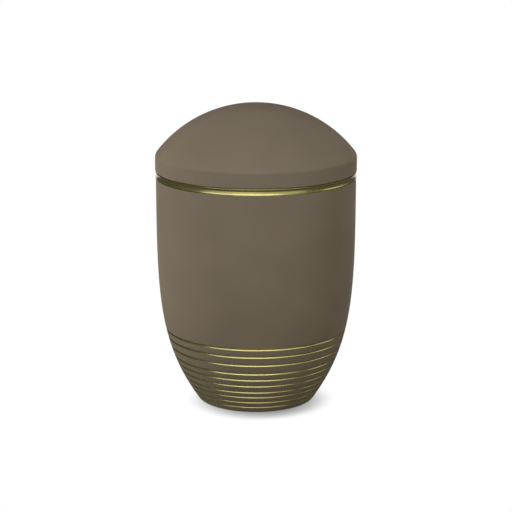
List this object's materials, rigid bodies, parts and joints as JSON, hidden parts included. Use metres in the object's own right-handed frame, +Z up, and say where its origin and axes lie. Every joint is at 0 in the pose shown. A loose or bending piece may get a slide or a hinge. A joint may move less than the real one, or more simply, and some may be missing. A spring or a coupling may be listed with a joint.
{
  "type": "cremation urn",
  "caption": "Rounded cylindrical cremation urn with a lift-off domed lid, a bright brass closing ring and turned brass grooves around its tapered foot.",
  "frame": {"origin": "centre of the flat standing ring, on the surface the urn stands on", "axes": "+Z up along the axis the urn is turned about; X and Y are level and alike"},
  "size_m": [0.2, 0.2, 0.3],
  "materials": {
    "taupe_lacquer": "matte taupe lacquer over spun brass, cut through to bright brass in the turned grooves, plain spun brass inside",
    "bright_brass": "bright turned brass with fine lathe lines"
  },
  "bodies": {
    "root": {"urn_body": "taupe_lacquer", "closing_ring": "bright_brass", "lid": "taupe_lacquer"}
  },
  "joints": []
}
